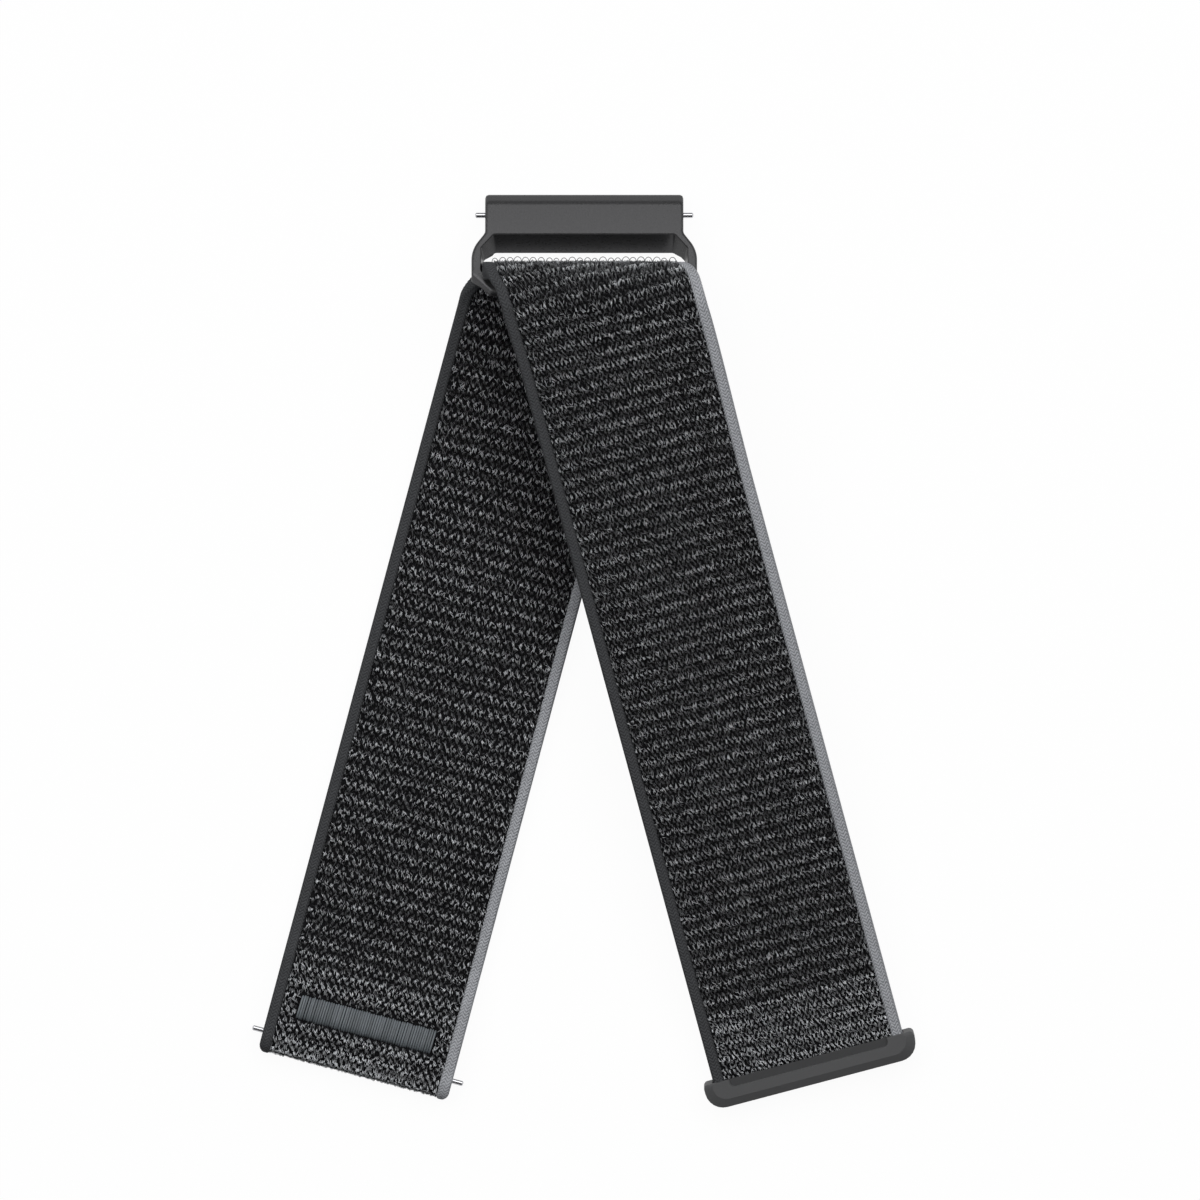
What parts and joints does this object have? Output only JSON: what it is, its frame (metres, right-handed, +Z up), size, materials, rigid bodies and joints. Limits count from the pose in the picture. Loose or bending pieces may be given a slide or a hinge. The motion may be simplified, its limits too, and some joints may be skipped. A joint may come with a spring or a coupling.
{
  "type": "watch strap",
  "caption": "Woven nylon watch strap folded through a slotted metal buckle, with a sewn lug end, quick-release spring bars and a moulded cap on the free end.",
  "frame": {"origin": "on the table, under the middle of the box of the whole strap", "axes": "+Z up from the table, +Y from the two ends of the band towards the buckle, +X to the right across the buckle, the side of the free leg"},
  "size_m": [0.073, 0.1002, 0.0164],
  "materials": {
    "loop_pile": "heather black loop pile with cross ribs",
    "dark_weave": "flat woven dark grey edge, fine twill",
    "light_weave": "flat woven light grey edge, fine twill",
    "tack_thread": "satin sewing thread, slate grey",
    "hook_tape": "black hook tape",
    "moulded_cap": "matte dark grey moulding",
    "coated_steel": "satin dark grey coating",
    "polished_steel": "polished steel",
    "spring_steel": "drawn spring wire"
  },
  "bodies": {
    "lug_leg": {"lug_leg_band": "loop_pile", "lug_leg_dark_edge": "dark_weave", "lug_leg_light_edge": "light_weave", "fold_band": "loop_pile", "fold_dark_edge": "dark_weave", "fold_light_edge": "light_weave", "bar_tack": "tack_thread", "lug_bar_tube": "polished_steel", "lug_bar_fixed_tip": "polished_steel", "lug_bar_spring": "spring_steel"},
    "free_leg": {"free_leg_band": "loop_pile", "free_leg_dark_edge": "dark_weave", "free_leg_light_edge": "light_weave", "hook_patch": "hook_tape", "end_cap": "moulded_cap"},
    "buckle": {"buckle_frame": "coated_steel", "buckle_bar_tube": "polished_steel", "buckle_bar_fixed_tip": "polished_steel", "buckle_bar_spring": "spring_steel"},
    "buckle_release": {"buckle_bar_moving_tip": "polished_steel", "buckle_release_lever": "polished_steel"},
    "lug_release": {"lug_bar_moving_tip": "polished_steel", "lug_release_lever": "polished_steel"}
  },
  "joints": [
    {"name": "free_leg_fold", "type": "hinge", "parent": "lug_leg", "child": "free_leg", "pos_m": [0.00154, 0.04053, 0.01449], "axis": [-1, 0, 0], "range_deg": [0, 90], "deforming": ["fold_band", "fold_dark_edge", "fold_light_edge"]},
    {"name": "buckle_swing", "type": "hinge", "parent": "lug_leg", "child": "buckle", "pos_m": [0.00006, 0.03976, 0.00787], "axis": [1, 0, 0], "range_deg": [0, 60]},
    {"name": "buckle_release_pull", "type": "slide", "parent": "buckle", "child": "buckle_release", "axis": [-1, 0, 0], "range_m": [0, 0.0013], "stiffness_N_per_m": 50, "deforming": ["buckle_bar_spring"]},
    {"name": "lug_release_pull", "type": "slide", "parent": "lug_leg", "child": "lug_release", "axis": [-0.9659, 0.2588, 0], "range_m": [0, 0.0013], "stiffness_N_per_m": 50, "deforming": ["lug_bar_spring"]}
  ]
}
